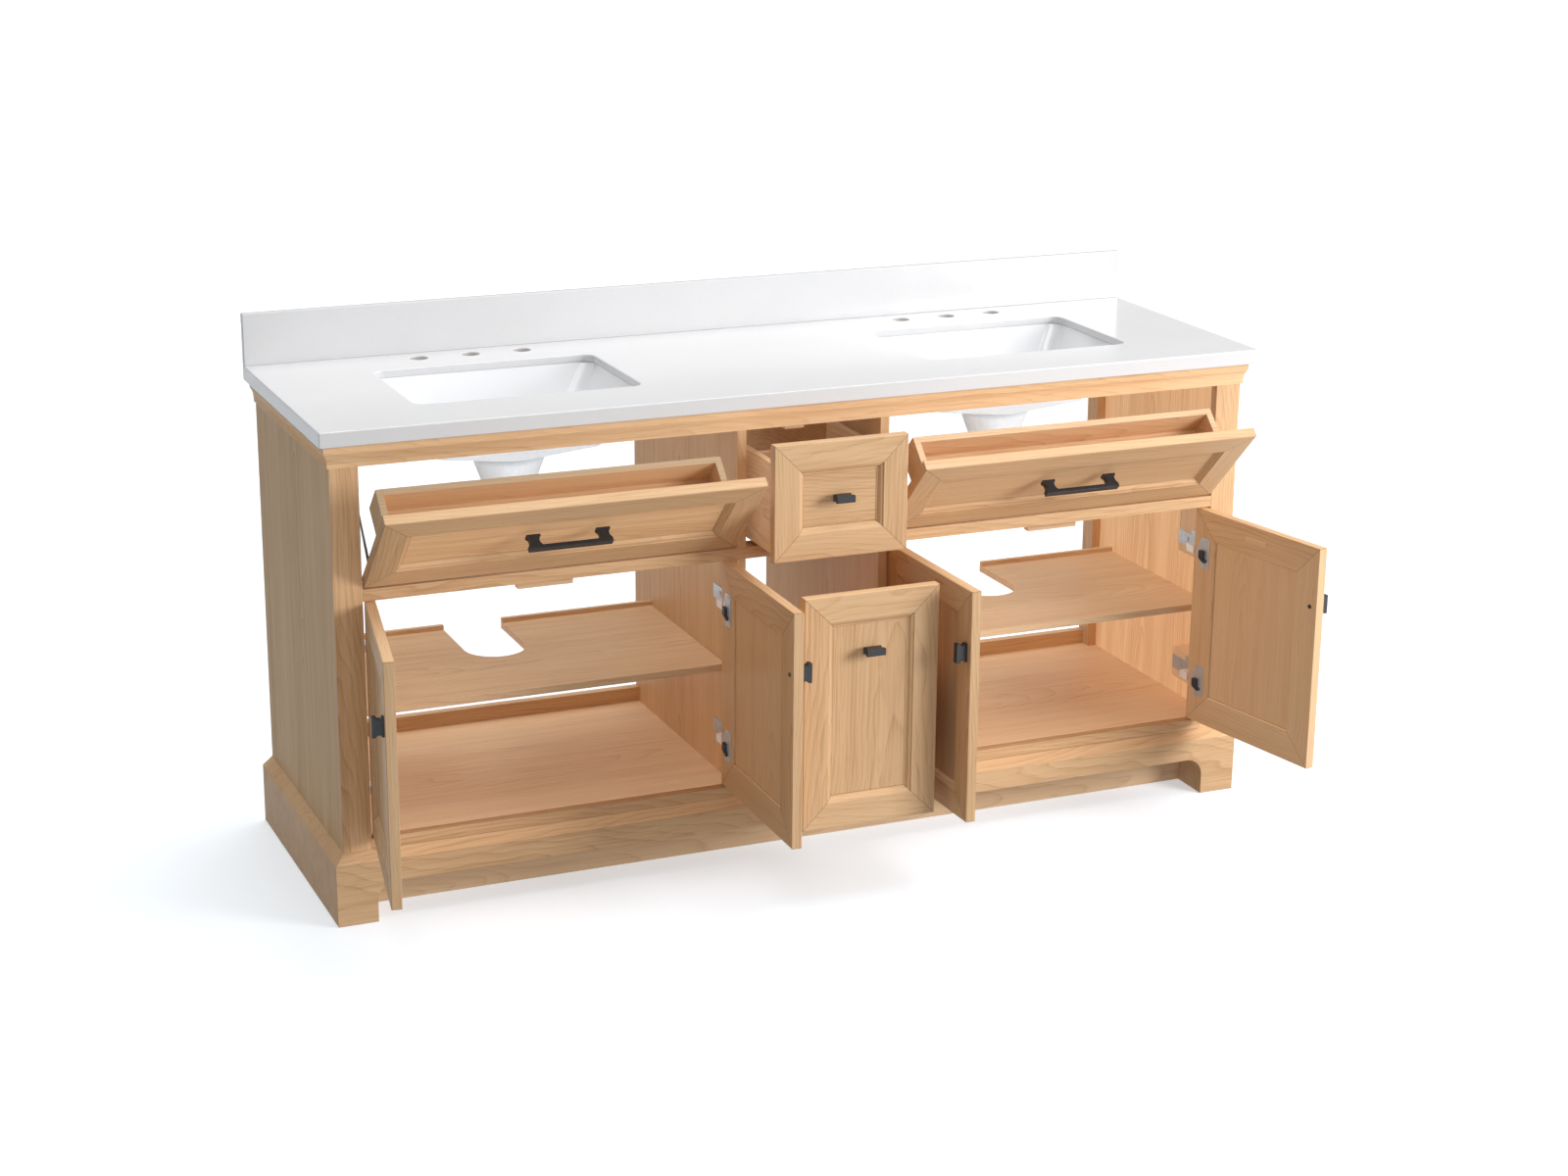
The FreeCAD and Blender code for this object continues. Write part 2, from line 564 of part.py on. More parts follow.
TOP_DEPTH = 305.0
LOW_DEPTH = 420.0
top_rail_z = drawer("drawer_top", TOP_DRAWER_LOW, TOP_DRAWER_H, TOP_DRAWER_OUT,
                    625.0, 793.0, TOP_DEPTH, 730.0, -105.0)
low_rail_z = drawer("drawer_bottom", DOOR_LOW, DOOR_H, LOW_DRAWER_OUT,
                    160.0, 400.0, LOW_DEPTH, 484.0, None)

# fixed runner channels screwed to the dividers, open towards the drawer
channels = []
for z, length in ((top_rail_z, TOP_DEPTH + 10.0), (low_rail_z, LOW_DEPTH + 30.0)):
    web = box(DIVIDER_IN - 1.5, DIVIDER_IN, FRAME_BACK + 2, FRAME_BACK + 2 + length,
              z - 22, z + 22)
    for dz in (-22.0, 20.5):
        web = web.fuse(box(DIVIDER_IN - 10, DIVIDER_IN, FRAME_BACK + 2, FRAME_BACK + 2 + length,
                           z + dz, z + dz + 1.5))
    channels.append(web.removeSplitter())
save("runner_channels", both_sides(channels))

print(len(NODES), "nodes,", sum(NODES.values()), "solids")
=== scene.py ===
import json
import math
import random

import bmesh
import bpy
from mathutils import Matrix, Vector


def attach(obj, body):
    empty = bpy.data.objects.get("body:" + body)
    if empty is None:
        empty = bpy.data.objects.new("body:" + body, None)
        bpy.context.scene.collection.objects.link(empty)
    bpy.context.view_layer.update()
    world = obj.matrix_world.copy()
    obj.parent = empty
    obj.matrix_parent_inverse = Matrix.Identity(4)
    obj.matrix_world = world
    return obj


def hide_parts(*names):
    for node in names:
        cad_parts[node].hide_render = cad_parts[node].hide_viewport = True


# Bathroom vanity with two basins. Metres, +Z up, front towards -Y, floor at z = 0.

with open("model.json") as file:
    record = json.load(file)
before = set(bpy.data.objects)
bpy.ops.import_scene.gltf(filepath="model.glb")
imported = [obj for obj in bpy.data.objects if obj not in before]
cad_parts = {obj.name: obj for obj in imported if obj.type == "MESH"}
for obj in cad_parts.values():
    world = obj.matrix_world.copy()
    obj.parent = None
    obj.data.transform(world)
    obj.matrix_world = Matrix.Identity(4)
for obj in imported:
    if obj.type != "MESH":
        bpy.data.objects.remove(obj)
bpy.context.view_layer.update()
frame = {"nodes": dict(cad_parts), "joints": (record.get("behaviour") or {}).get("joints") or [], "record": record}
nodes = frame["nodes"]
bodies = frame["record"]["behaviour"]["bodies"]
joints = {j["child"]: j for j in frame["joints"]}

# how far each moving body is turned from square, at rest
TURN = {
    "door_left_outer": (-100.2, "Z"), "door_right_outer": (100.2, "Z"),
    "door_left_inner": (89.1, "Z"), "door_right_inner": (-89.1, "Z"),
    "tray_left": (45.0, "X"), "tray_right": (45.0, "X"),
}

# ---------------------------------------------------------------- node helpers


class Tree:
    """Short-hand for building a material's node tree."""

    def __init__(self, name):
        self.mat = bpy.data.materials.new(name)
        self.mat.use_nodes = True
        self.nt = self.mat.node_tree
        self.nt.nodes.clear()
        self.out = self.nt.nodes.new("ShaderNodeOutputMaterial")
        self.bsdf = self.nt.nodes.new("ShaderNodeBsdfPrincipled")
        self.link(self.bsdf.outputs[0], self.out.inputs[0])

    def link(self, a, b):
        self.nt.links.new(a, b)

    def put(self, socket, value):
        if isinstance(value, (int, float)):
            socket.default_value = value
        elif isinstance(value, (tuple, list)):
            socket.default_value = value
        else:
            self.link(value, socket)

    def attribute(self, name, kind="Vector"):
        n = self.nt.nodes.new("ShaderNodeAttribute")
        n.attribute_type = "GEOMETRY"
        n.attribute_name = name
        return n.outputs[kind]

    def coords(self):
        return self.nt.nodes.new("ShaderNodeTexCoord").outputs["Object"]

    def vmul(self, vector, factors):
        n = self.nt.nodes.new("ShaderNodeVectorMath")
        n.operation = "MULTIPLY"
        self.link(vector, n.inputs[0])
        n.inputs[1].default_value = factors
        return n.outputs[0]

    def vadd(self, a, b):
        n = self.nt.nodes.new("ShaderNodeVectorMath")
        n.operation = "ADD"
        self.put(n.inputs[0], a)
        self.put(n.inputs[1], b)
        return n.outputs[0]

    def math(self, op, a, b=0.0, clamp=False):
        n = self.nt.nodes.new("ShaderNodeMath")
        n.operation = op
        n.use_clamp = clamp
        self.put(n.inputs[0], a)
        self.put(n.inputs[1], b)
        return n.outputs[0]

    def noise(self, vector, scale, detail=3.0, rough=0.5, distortion=0.0):
        n = self.nt.nodes.new("ShaderNodeTexNoise")
        self.link(vector, n.inputs["Vector"])
        n.inputs["Scale"].default_value = scale
        n.inputs["Detail"].default_value = detail
        n.inputs["Roughness"].default_value = rough
        n.inputs["Distortion"].default_value = distortion
        return n.outputs["Fac"]

    def ramp(self, fac, stops, interpolation="LINEAR"):
        n = self.nt.nodes.new("ShaderNodeValToRGB")
        n.color_ramp.interpolation = interpolation
        elements = n.color_ramp.elements
        while len(elements) < len(stops):
            elements.new(0.5)
        for element, (at, colour) in zip(elements, stops):
            element.position = at
            if isinstance(colour, (int, float)):
                colour = (colour, colour, colour)
            element.color = tuple(colour) + (1.0,)
        self.link(fac, n.inputs[0])
        return n.outputs[0]

    def mix(self, fac, a, b, blend="MIX"):
        n = self.nt.nodes.new("ShaderNodeMix")
        n.data_type = "RGBA"
        n.blend_type = blend
        self.put(n.inputs["Factor"], fac)
        for socket, value in ((n.inputs[6], a), (n.inputs[7], b)):
            if isinstance(value, tuple):
                socket.default_value = tuple(value[:3]) + (1.0,)
            else:
                self.link(value, socket)
        return n.outputs[2]

    def bump(self, height, strength, distance):
        n = self.nt.nodes.new("ShaderNodeBump")
        n.inputs["Strength"].default_value = strength
        n.inputs["Distance"].default_value = distance
        self.link(height, n.inputs["Height"])
        self.link(n.outputs[0], self.bsdf.inputs["Normal"])


def srgb(r, g, b):
    def linear(c):
        c = c / 255.0
        return c / 12.92 if c <= 0.04045 else ((c + 0.055) / 1.055) ** 2.4
    return (linear(r), linear(g), linear(b))


def oak(name, light, mid, dark, rough=0.50):
    """Oak seen along the 'grain' attribute: x runs with the fibres, y and z across."""
    t = Tree(name)
    g = t.attribute("grain")
    tone = t.attribute("tone", "Fac")
    # slow waver of the fibres
    waver = t.noise(t.vmul(g, (1.6, 9.0, 9.0)), 1.0, 2.0, 0.5)
    waver = t.math("MULTIPLY", t.math("SUBTRACT", waver, 0.5), 0.035)
    combine = t.nt.nodes.new("ShaderNodeCombineXYZ")
    t.link(waver, combine.inputs[1])
    t.link(waver, combine.inputs[2])
    fibres = t.vadd(g, combine.outputs[0])
    # annual rings: distance from a pith line off the board, so wide faces show arches
    sep = t.nt.nodes.new("ShaderNodeSeparateXYZ")
    t.link(fibres, sep.inputs[0])
    yy = t.math("MULTIPLY", sep.outputs[1], sep.outputs[1])
    zz = t.math("MULTIPLY", sep.outputs[2], sep.outputs[2])
    radius = t.math("SQRT", t.math("ADD", yy, zz))
    drift = t.math("MULTIPLY", sep.outputs[0], 0.045)
    swell = t.math("MULTIPLY", t.noise(t.vmul(fibres, (2.2, 6.0, 6.0)), 1.0, 3.0, 0.55), 0.05)
    ring = t.math("MULTIPLY", t.math("ADD", t.math("ADD", radius, drift), swell), 150.0)
    saw = t.math("FRACT", ring)
    rings = t.ramp(saw, [(0.0, 0.20), (0.10, 0.74), (0.55, 0.60), (0.86, 0.44), (1.0, 0.16)])
    # fine fibre streaks and broader bands
    streak = t.noise(t.vmul(fibres, (5.0, 420.0, 420.0)), 1.0, 4.0, 0.6)
    band = t.noise(t.vmul(fibres, (1.4, 46.0, 46.0)), 1.0, 3.0, 0.55)
    blotch = t.noise(t.vmul(fibres, (1.5, 5.0, 5.0)), 1.0, 2.0, 0.5)
    value = t.math("ADD", t.math("MULTIPLY", streak, 0.52), t.math("MULTIPLY", band, 0.36))
    value = t.math("ADD", value, t.math("MULTIPLY", t.math("SUBTRACT", rings, 0.5), 0.27))
    value = t.math("ADD", value, t.math("MULTIPLY", t.math("SUBTRACT", blotch, 0.5), 0.28))
    value = t.math("ADD", value, t.math("MULTIPLY", t.math("SUBTRACT", tone, 0.5), 0.22))
    colour = t.ramp(value, [(0.20, dark), (0.42, mid), (0.66, light)])
    # open pores: short dark dashes gathered in the early wood
    pores = t.noise(t.vmul(fibres, (55.0, 1500.0, 1500.0)), 1.0, 2.0, 0.5)
    pores = t.math("MULTIPLY", t.ramp(pores, [(0.60, 0.0), (0.72, 1.0)]),
                   t.ramp(saw, [(0.0, 1.0), (0.35, 0.35), (0.8, 0.25), (1.0, 1.0)]))
    colour = t.mix(t.math("MULTIPLY", pores, 0.42), colour, tuple(c * 0.62 for c in dark))
    # dark hairline where two boards meet
    gaps = t.attribute("seam", "Color")
    parts = t.nt.nodes.new("ShaderNodeSeparateColor")
    t.link(gaps, parts.inputs[0])
    nearest = t.math("MINIMUM", t.math("ABSOLUTE", parts.outputs[0]), t.math("ABSOLUTE", parts.outputs[1]))
    nearest = t.math("MINIMUM", nearest, t.math("ABSOLUTE", parts.outputs[2]))
    nearest = t.math("MINIMUM", nearest, t.math("ABSOLUTE", t.attribute("seam", "Alpha")))
    line = t.ramp(t.math("MULTIPLY", nearest, 400.0), [(0.12, 1.0), (0.46, 0.0)])
    colour = t.mix(t.math("MULTIPLY", line, 0.62), colour, tuple(c * 0.30 for c in dark))
    t.link(colour, t.bsdf.inputs["Base Color"])
    t.link(t.math("ADD", t.math("MULTIPLY", value, -0.16), rough + 0.08), t.bsdf.inputs["Roughness"])
    t.bsdf.inputs["Specular IOR Level"].default_value = 0.22
    height = t.math("SUBTRACT", t.math("MULTIPLY", streak, 0.5), pores)
    t.bump(height, 0.28, 0.00025)
    return t.mat


OAK = (srgb(237, 200, 157), srgb(226, 185, 141), srgb(199, 156, 113))
wood = oak("oak", *OAK)
# Warmer copy of the oak for the outside of the left side panel: painted colour that offsets the cool sheen of light
# on that shaded face
wood_side_painted_warm = oak("oak side painted warm", srgb(238, 202, 150), srgb(227, 187, 134), srgb(200, 158, 107))
# Paler, less orange copy of the oak for the inside parts: painted light that makes the shaded cupboard interiors
# read brighter than their lighting gives
wood_inside_painted_lighter = oak("oak inside painted lighter", srgb(240, 207, 168), srgb(228, 190, 150), srgb(203, 162, 122), 0.46)


def quartz():
    t = Tree("white quartz")
    p = t.coords()
    fine = t.noise(p, 900.0, 3.0, 0.6)
    cloud = t.noise(p, 9.0, 3.0, 0.5)
    value = t.math("ADD", t.math("MULTIPLY", fine, 0.85), t.math("MULTIPLY", cloud, 0.15))
    colour = t.ramp(value, [(0.34, srgb(226, 226, 228)), (0.52, srgb(233, 233, 234)), (0.70, srgb(238, 238, 238))])
    t.link(colour, t.bsdf.inputs["Base Color"])
    t.link(t.math("ADD", t.math("MULTIPLY", fine, 0.08), 0.16), t.bsdf.inputs["Roughness"])
    t.bump(fine, 0.03, 0.0002)
    return t.mat


def glaze():
    t = Tree("white glaze")
    p = t.coords()
    wave = t.noise(p, 6.0, 2.0, 0.4)
    t.link(t.ramp(wave, [(0.3, srgb(230, 231, 233)), (0.7, srgb(238, 239, 241))]), t.bsdf.inputs["Base Color"])
    t.link(t.math("ADD", t.math("MULTIPLY", wave, 0.05), 0.06), t.bsdf.inputs["Roughness"])
    t.bsdf.inputs["Coat Weight"].default_value = 0.5
    t.bsdf.inputs["Coat Roughness"].default_value = 0.05
    t.bump(wave, 0.05, 0.002)
    return t.mat


def matt_outside_painted_cool():
    """Unglazed, matt outside of the basins; its blue-white tint is painted cool light that offsets the warm bounce
    from the wood.
    """
    t = Tree("matt white painted cool")
    p = t.coords()
    fine = t.noise(p, 160.0, 4.0, 0.6)
    # blue-white tint: painted cool light on the basins' undersides
    t.link(t.ramp(fine, [(0.3, srgb(216, 231, 244)), (0.7, srgb(226, 240, 251))]), t.bsdf.inputs["Base Color"])
    t.link(t.math("ADD", t.math("MULTIPLY", fine, 0.1), 0.45), t.bsdf.inputs["Roughness"])
    t.bump(fine, 0.06, 0.0004)
    return t.mat


def black_metal():
    t = Tree("black powder coat")
    p = t.coords()
    grain = t.noise(p, 2600.0, 3.0, 0.6)
    wear = t.noise(p, 45.0, 3.0, 0.6)
    t.link(t.ramp(wear, [(0.35, srgb(27, 27, 29)), (0.75, srgb(43, 43, 46))]), t.bsdf.inputs["Base Color"])
    t.link(t.math("ADD", t.math("MULTIPLY", grain, 0.18), 0.32), t.bsdf.inputs["Roughness"])
    t.bump(grain, 0.10, 0.0002)
    return t.mat


def nickel(name, tint, low, high, metal=1.0):
    t = Tree(name)
    p = t.coords()
    brush = t.noise(t.vmul(p, (900.0, 900.0, 40.0)), 1.0, 3.0, 0.6)
    spots = t.noise(p, 70.0, 2.0, 0.5)
    t.link(t.ramp(spots, [(0.3, tuple(c * 0.86 for c in tint)), (0.7, tint)]), t.bsdf.inputs["Base Color"])
    t.bsdf.inputs["Metallic"].default_value = metal
    t.link(t.math("ADD", t.math("MULTIPLY", brush, high - low), low), t.bsdf.inputs["Roughness"])
    t.bump(brush, 0.06, 0.0002)
    return t.mat


stone = quartz()
ceramic = glaze()
outside_painted_cool = matt_outside_painted_cool()
black = black_metal()
steel = nickel("nickel plate", srgb(196, 202, 209), 0.28, 0.44, 0.62)
# near-white, barely metallic nickel: a painted highlight for the hinge arms
steel_painted_highlight = nickel("nickel painted highlight", srgb(248, 249, 250), 0.22, 0.34, 0.15)
dark_steel = nickel("dark steel", srgb(96, 97, 100), 0.30, 0.45)

# how far a panel's edge runs into the groove of its frame
TONGUE = 0.007
# faces of the boards that carry the hinge arms, from the middle
DIVIDER_OUT = 0.152
STILE_IN = 0.8537

# ---------------------------------------------------------------- geometry from the frame


def islands(bm, key):
    """Groups of faces that hang together and share a key, one group for each solid."""
    left = set(bm.faces)
    groups = []
    while left:
        seed = left.pop()
        group = [seed]
        stack = [seed]
        while stack:
            face = stack.pop()
            for edge in face.edges:
                for other in edge.link_faces:
                    if other in left and key[other] == key[seed]:
                        left.discard(other)
                        group.append(other)
                        stack.append(other)
        groups.append(group)
    return groups


def mitred(node):
    return node.endswith("_frame") and node != "back_frame"


def member_keys(node, whole, square):
    """For a mitred frame, which of its four members each face belongs to."""
    if not mitred(node):
        return {face: 0 for face in whole.faces}
    spots = [square @ v.co for v in whole.verts]
    low = [min(p[i] for p in spots) for i in range(3)]
    high = [max(p[i] for p in spots) for i in range(3)]
    keys = {}
    for face in whole.faces:
        c = square @ face.calc_center_median()
        gaps = (c.x - low[0], high[0] - c.x, c.z - low[2], high[2] - c.z)
        keys[face] = gaps.index(min(gaps))
    return keys


def solid_meshes(node, square):
    """A clean bmesh for each solid of a CAD node, flat faces merged, with its member number."""
    whole = bmesh.new()
    whole.from_mesh(nodes[node].data)
    bmesh.ops.remove_doubles(whole, verts=whole.verts[:], dist=2e-6)
    whole.faces.ensure_lookup_table()
    pieces = []
    keys = member_keys(node, whole, square)
    for group in islands(whole, keys):
        member = keys[group[0]]
        piece = bmesh.new()
        lookup = {}
        for face in group:
            corners = []
            for vert in face.verts:
                if vert.index not in lookup:
                    lookup[vert.index] = piece.verts.new(vert.co)
                corners.append(lookup[vert.index])
            if len(set(corners)) == len(corners):
                try:
                    piece.faces.new(corners)
                except ValueError:
                    pass
        bmesh.ops.dissolve_limit(piece, angle_limit=math.radians(1.0), verts=piece.verts[:],
                                 edges=piece.edges[:])
        piece.normal_update()
        pieces.append((member, piece))
    whole.free()
    return pieces


def seams(node, member, spots, low, high):
    """Distances to the nearby joints: mitres of a frame member, or the edges a panel shows."""
    rows = []
    for p in spots:
        gaps = (p.x - low.x, high.x - p.x, p.z - low.z, high.z - p.z)
        if mitred(node):
            ends = gaps[2:] if member < 2 else gaps[:2]
            rows.append((ends[0] - gaps[member], ends[1] - gaps[member], 1.0, 1.0))
        elif node.endswith("_panel") and body_of(node) != "cabinet":
            rows.append(tuple(gap - TONGUE for gap in gaps))
        else:
            rows.append((1.0, 1.0, 1.0, 1.0))
    return rows


def body_of(node):
    for body, members in bodies.items():
        if node in members:
            return body
    return None


def straighten(body):
    """Matrix that turns a body's rest position back to square with the axes."""
    if body not in TURN:
        return Matrix.Identity(4)
    angle, axis = TURN[body]
    pivot = Vector(joints[body]["pos_m"])
    turn = Matrix.Rotation(math.radians(-angle), 4, axis)
    return Matrix.Translation(pivot) @ turn @ Matrix.Translation(-pivot)


def weigh_normals(mesh):
    """Large faces keep their own direction, and the softened edges blend between them."""
    sums = [Vector() for _ in mesh.vertices]
    for face in mesh.polygons:
        for v in face.vertices:
            sums[v] += face.normal * face.area
    corners = []
    for face in mesh.polygons:
        for v in face.vertices:
            corners.append(sums[v].normalized() if face.use_smooth else face.normal.copy())
    mesh.normals_split_custom_set(corners)


def dress(node, material, bevel=0.0006, segments=2, along=None, sharp=30.0):
    """Rebuilds a CAD node with softened edges and a grain direction for every board in it."""
    body = body_of(node)
    square = straighten(body)
    rng = random.Random(node)
    verts = []
    faces = []
    smooth = []
    grain = []
    tones = []
    lines = []
    all_spots = [square @ v.co for v in nodes[node].data.vertices]
    node_low = Vector([min(p[i] for p in all_spots) for i in range(3)])
    node_high = Vector([max(p[i] for p in all_spots) for i in range(3)])
    if mitred(node):
        sharp = 15.0
    for member, piece in solid_meshes(node, square):
        edges = []
        round_faces = set()
        for edge in piece.edges:
            if len(edge.link_faces) != 2:
                continue
            angle = edge.calc_face_angle(0.0)
            if angle > math.radians(sharp):
                edges.append(edge)
            elif angle > math.radians(1.5):
                round_faces.update(f.index for f in edge.link_faces)
        piece.faces.ensure_lookup_table()
        layer = piece.faces.layers.int.new("round")
        for face in piece.faces:
            face[layer] = 1 if face.index in round_faces else 0
        if bevel and edges:
            done = bmesh.ops.bevel(piece, geom=edges, offset=bevel, segments=segments,
                                   profile=0.5, affect="EDGES", clamp_overlap=True)
            for face in done["faces"]:
                face[layer] = 1
        piece.normal_update()
        piece.verts.index_update()
        local = [square @ v.co for v in piece.verts]
        low = Vector([min(p[i] for p in local) for i in range(3)])
        high = Vector([max(p[i] for p in local) for i in range(3)])
        span = high - low
        first = max(range(3), key=lambda i: span[i]) if along is None else along
        rest = [i for i in range(3) if i != first]
        rest.sort(key=lambda i: -span[i])
        shift = Vector((rng.uniform(-20, 20), rng.uniform(0.02, 0.09) * rng.choice((-1, 1)),
                        rng.uniform(0.03, 0.10)))
        tone = rng.random() if max(span) > 0.08 else 2.2
        middle = (low + high) / 2
        base = len(verts)
        for v, p in zip(piece.verts, local):
            d = p - middle
            verts.append(v.co.copy())
            grain.append((d[first] + shift[0], d[rest[0]] + shift[1], d[rest[1]] + shift[2]))
            tones.append(tone)
        for row in seams(node, member, local, node_low, node_high):
            lines.extend(row)
        for face in piece.faces:
            faces.append([base + v.index for v in face.verts])
            smooth.append(bool(face[layer]))
        piece.free()
    mesh = bpy.data.meshes.new(node + " look")
    mesh.from_pydata(verts, [], faces)
    mesh.polygons.foreach_set("use_smooth", smooth)
    g = mesh.attributes.new("grain", "FLOAT_VECTOR", "POINT")
    g.data.foreach_set("vector", [c for row in grain for c in row])
    t = mesh.attributes.new("tone", "FLOAT", "POINT")
    t.data.foreach_set("value", tones)
    c = mesh.attributes.new("seam", "FLOAT_COLOR", "POINT")
    c.data.foreach_set("color", lines)
    mesh.materials.append(material)
    mesh.update()
    if bevel:
        weigh_normals(mesh)
    obj = bpy.data.objects.new(node + "_look", mesh)
    bpy.context.scene.collection.objects.link(obj)
    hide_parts(node)
    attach(obj, body)
    return obj


def black_links(obj, node):
    """The links stand higher over the door's back than the cup plate and its screws."""
    obj.data.materials.append(black)
    square = straighten(body_of(node))
    depth = [(square @ v.co).y for v in obj.data.vertices]
    front = joints[body_of(node)]["pos_m"][1] - 0.006
    for face in obj.data.polygons:
        if max(depth[i] for i in face.vertices) > front + 0.0222:
            face.material_index = 1


def arms_painted_highlight(obj):
    """The arms stand further off the boards than their plates; they get a near-white, barely metallic nickel, a
    painted highlight of the white surroundings they reflect.
    """
    obj.data.materials.append(steel_painted_highlight)
    for face in obj.data.polygons:
        c = face.center
        off = min(abs(abs(c.x) - edge) for edge in (DIVIDER_OUT, STILE_IN))
        if off > 0.006:
            face.material_index = 1


def two_faced(obj, outside):
    """Second material, with the painted cool tint, on the faces that look down or away from the middle of a basin.
    """
    obj.data.materials.append(outside)
    corners = [v.co for v in obj.data.vertices]
    middle = (Vector([min(c[i] for c in corners) for i in range(3)])
              + Vector([max(c[i] for c in corners) for i in range(3)])) / 2
    for face in obj.data.polygons:
        away = face.center - middle
        away.z = 0.0
        if face.normal.z < -0.2 or (face.normal.dot(away) > 0 and face.normal.z < 0.5):
            face.material_index = 1


# parts inside the cupboards, which take the oak copy painted lighter to stand in for light in the shaded interiors
INSIDE = {"floor_panel", "back_frame", "shelf_left", "shelf_right", "packers_and_stops",
          "centre_back_panel", "toe_board", "foot_blocks", "tray_left_box", "tray_right_box",
          "drawer_top_box", "drawer_bottom_box"}
STEEL = {"hinge_arms", "runner_channels", "shelf_pins"}
looks = {}
for name in nodes:
    if name in ("countertop", "backsplash"):
        looks[name] = dress(name, stone, bevel=0.0022, segments=3, sharp=40)
    elif name.startswith("sink"):
        looks[name] = dress(name, ceramic, bevel=0.0, sharp=40)
        two_faced(looks[name], outside_painted_cool)
    elif name.endswith(("_knob", "_pull")):
        looks[name] = dress(name, black, bevel=0.0008, segments=3)
    elif name.endswith(("_hinge_cups", "_slides")) or name in STEEL:
        looks[name] = dress(name, steel, bevel=0.0004, segments=2)
        if name.endswith("_hinge_cups"):
            black_links(looks[name], name)
        # the arms take the nickel with the painted highlight
        elif name == "hinge_arms":
            arms_painted_highlight(looks[name])
    elif name.endswith("_stay") or name == "stay_guides":
        looks[name] = dress(name, dark_steel, bevel=0.0003, segments=2)
    elif name in INSIDE:
        looks[name] = dress(name, wood_inside_painted_lighter, bevel=0.0006)
    # the shaded left side takes the oak copy painted warmer
    elif name == "side_panel_left":
        looks[name] = dress(name, wood_side_painted_warm, bevel=0.0006)
    else:
        looks[name] = dress(name, wood, bevel=0.0006)

# ---------------------------------------------------------------- floor, light, camera


def floor_material():
    t = Tree("studio floor")
    p = t.coords()
    n = t.noise(p, 3.0, 2.0, 0.5)
    # bluish floor colour and emission show only where the floor is in shadow: a painted cool tint of the shade; the
    # emission keeps the open floor evenly white
    t.link(t.ramp(n, [(0.3, (0.79, 0.84, 0.89)), (0.7, (0.81, 0.86, 0.91))]), t.bsdf.inputs["Base Color"])
    t.bsdf.inputs["Roughness"].default_value = 0.9
    t.bsdf.inputs["Specular IOR Level"].default_value = 0.1
    t.bsdf.inputs["Emission Color"].default_value = (0.96, 1.0, 1.04, 1.0)
    t.bsdf.inputs["Emission Strength"].default_value = 0.34
    return t.mat


floor_mesh = bpy.data.meshes.new("floor")
F = 60.0
floor_mesh.from_pydata([(-F, -F, -0.0005), (F, -F, -0.0005), (F, F, -0.0005), (-F, F, -0.0005)], [], [(0, 1, 2, 3)])
floor_mesh.materials.append(floor_material())
floor = bpy.data.objects.new("floor", floor_mesh)
bpy.context.scene.collection.objects.link(floor)
floor.visible_diffuse = False

scene = bpy.context.scene
scene.view_settings.view_transform = "Standard"
scene.view_settings.exposure = 0.15
world = bpy.data.worlds.new("studio")
world.use_nodes = True
# plain white surroundings, a little brighter towards the right
backdrop = world.node_tree.nodes["Background"]
backdrop.inputs[0].default_value = (1.0, 1.0, 1.0, 1.0)
direction = world.node_tree.nodes.new("ShaderNodeTexCoord")
split = world.node_tree.nodes.new("ShaderNodeSeparateXYZ")
level = world.node_tree.nodes.new("ShaderNodeMath")
level.operation = "MULTIPLY_ADD"
level.inputs[1].default_value = 0.11
level.inputs[2].default_value = 0.32
world.node_tree.links.new(direction.outputs["Generated"], split.inputs[0])
world.node_tree.links.new(split.outputs[0], level.inputs[0])
world.node_tree.links.new(level.outputs[0], backdrop.inputs[1])
scene.world = world


def distant(name, towards, strength, spread, shadow=True, colour=(1, 1, 1)):
    """Soft light from far away, shining along 'towards'."""
    light = bpy.data.lights.new(name, "SUN")
    light.energy = strength
    light.angle = math.radians(spread)
    light.use_shadow = shadow
    light.color = colour
    obj = bpy.data.objects.new(name, light)
    obj.rotation_euler = Vector(towards).to_track_quat("-Z", "Y").to_euler()
    scene.collection.objects.link(obj)
    return obj


def only(lamp, *names):
    """Lets a lamp reach just the named nodes."""
    group = bpy.data.collections.new(lamp.name + " reaches")
    for name in names:
        group.objects.link(looks[name])
    lamp.light_linking.receiver_collection = group


def spare(lamp, *names):
    """Keeps a lamp off the named nodes."""
    only(lamp, *names)
    for item in lamp.light_linking.receiver_collection.collection_objects:
        item.light_linking.link_state = "EXCLUDE"


def area(name, at, target, size, power):
    light = bpy.data.lights.new(name, "AREA")
    light.shape = "RECTANGLE"
    light.size = size[0]
    light.size_y = size[1]
    light.energy = power
    obj = bpy.data.objects.new(name, light)
    obj.location = at
    obj.rotation_euler = (Vector(target) - Vector(at)).to_track_quat("-Z", "Y").to_euler()
    scene.collection.objects.link(obj)
    return obj


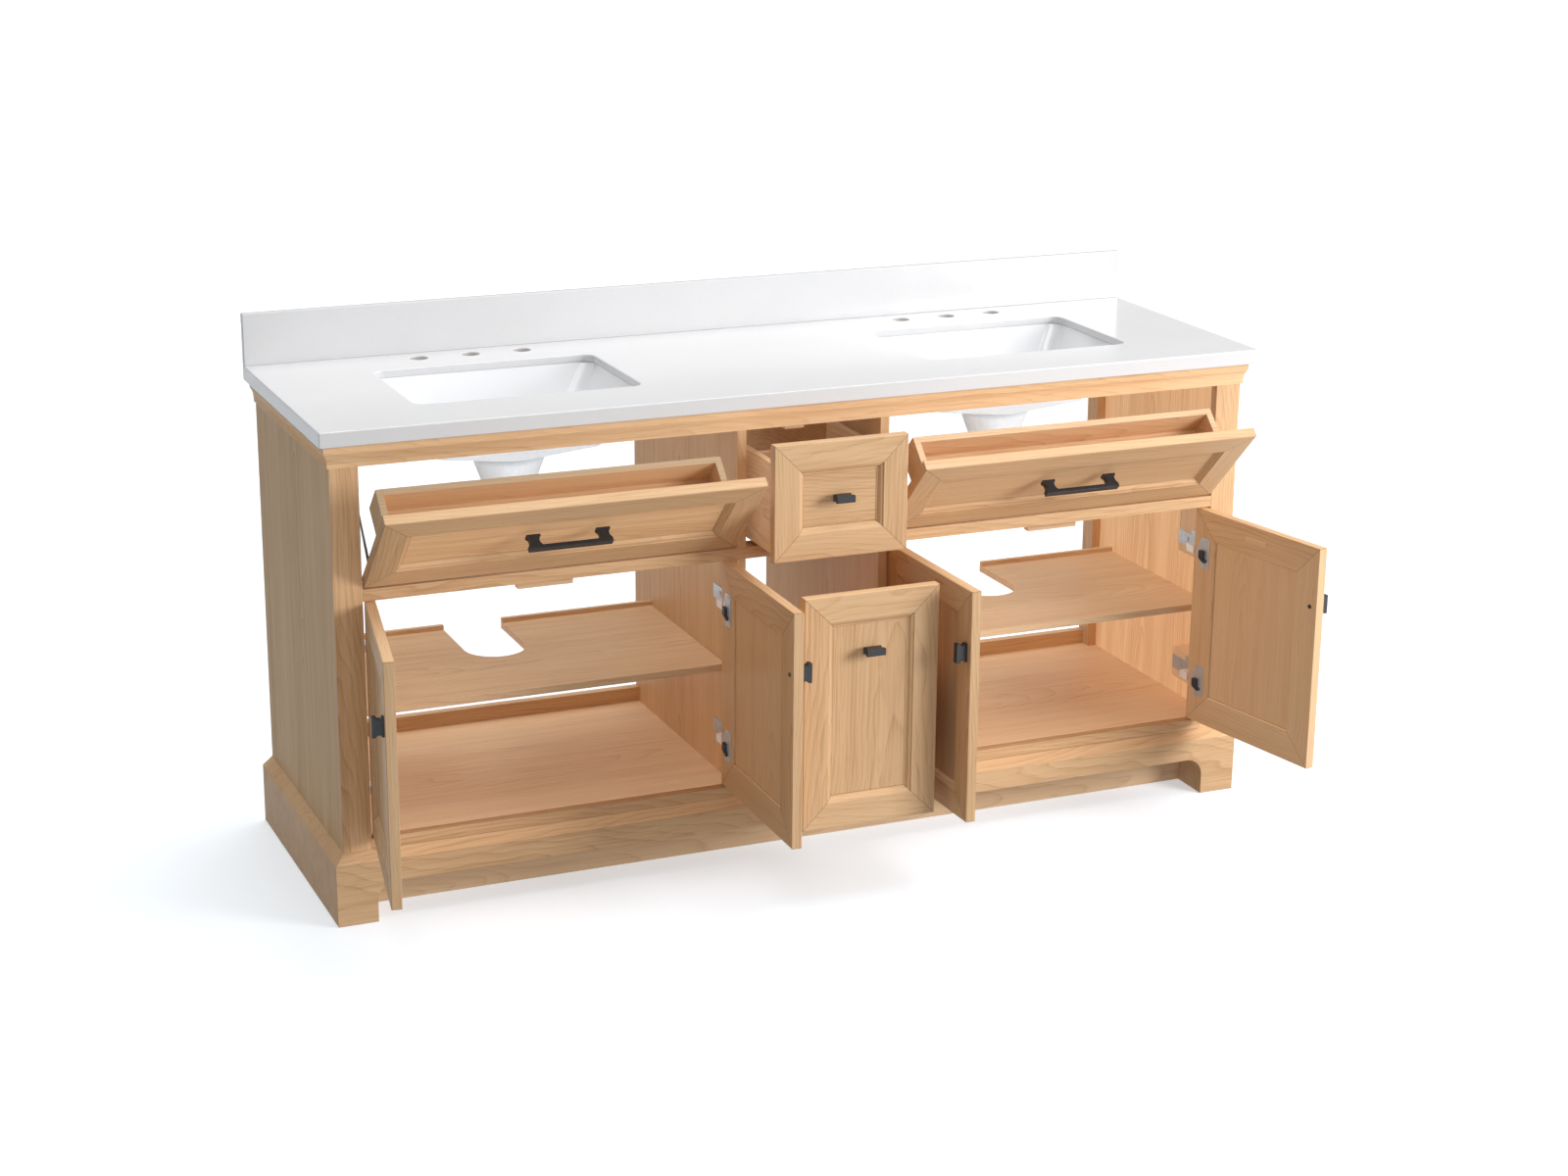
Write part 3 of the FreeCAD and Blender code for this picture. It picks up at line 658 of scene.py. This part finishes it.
spare(distant("sky", (-0.26, -0.12, -0.95), 1.35, 60), "tray_left_box")
spare(distant("fill", (0.0, 0.20, -0.98), 0.38, 30, shadow=False), "tray_left_box")
only(distant("counter fill", (0.0, 0.0, -1.0), 0.28, 30, shadow=False), "countertop")
only(distant("sink glow", (0.0, 0.75, 0.66), 1.95, 30, shadow=False), "sink_left", "sink_right")
only(distant("crown glow", (0.12, 0.93, 0.36), 0.62, 30, shadow=False), "crown_moulding")
only(distant("rail glow", (0.0, 0.95, 0.30), 0.15, 30, shadow=False), "face_rails")
only(distant("stile glow", (0.0, 0.95, 0.10), 0.35, 30, shadow=False), "face_stiles")
only(distant("tray glow", (0.0, 0.75, 0.66), 0.8, 30, shadow=False), "tray_left_front_panel")
only(distant("bay fill", (0.9, 0.3, -0.3), 1.25, 30, shadow=False), "side_panel_right")
only(distant("basin fill", (0.7, 0.5, -0.5), 0.3, 30, shadow=False), "sink_left", "sink_right")
only(distant("door back fill", (0.62, 0.10, -0.78), 0.55, 30, shadow=False),
     "door_right_outer_frame", "door_right_outer_panel")
only(distant("cupboard fill", (0.62, 0.10, -0.78), 0.85, 30, shadow=False),
     "shelf_left", "shelf_right", "side_panel_right", "centre_back_panel",
     "drawer_top_box", "drawer_bottom_box", "packers_and_stops", "hinge_arms",
     "door_right_outer_hinge_cups", "door_left_inner_hinge_cups")
only(distant("divider fill", (0.62, 0.10, -0.78), 0.42, 30, shadow=False), "divider_left", "divider_right",
     "back_frame")
only(distant("floor panel fill", (0.0, 0.0, -1.0), 0.75, 30, shadow=False), "floor_panel")
only(distant("left shelf fill", (0.0, 0.0, -1.0), 0.25, 30, shadow=False), "shelf_left")
area("key", (2.9, -2.9, 1.6), (0.2, 0, 0.5), (1.8, 1.6), 112)

YAW = math.radians(23.31)
PITCH = math.radians(17.06)
ROLL = math.radians(0.501)
forward = Vector((math.sin(YAW) * math.cos(PITCH), math.cos(YAW) * math.cos(PITCH), -math.sin(PITCH)))
right = Vector((math.cos(YAW), -math.sin(YAW), 0.0))
up = right.cross(forward)
side = math.cos(ROLL) * right + math.sin(ROLL) * up
top = -math.sin(ROLL) * right + math.cos(ROLL) * up
camera_data = bpy.data.cameras.new("camera")
camera_data.sensor_width = 36.0
camera_data.lens = 65.306
camera_data.clip_end = 300.0
camera = bpy.data.objects.new("camera", camera_data)
matrix = Matrix((side, top, -forward)).transposed().to_4x4()
matrix.translation = Vector((-2.048, -4.7229, 2.073))
camera.matrix_world = matrix
scene.collection.objects.link(camera)
scene.camera = camera
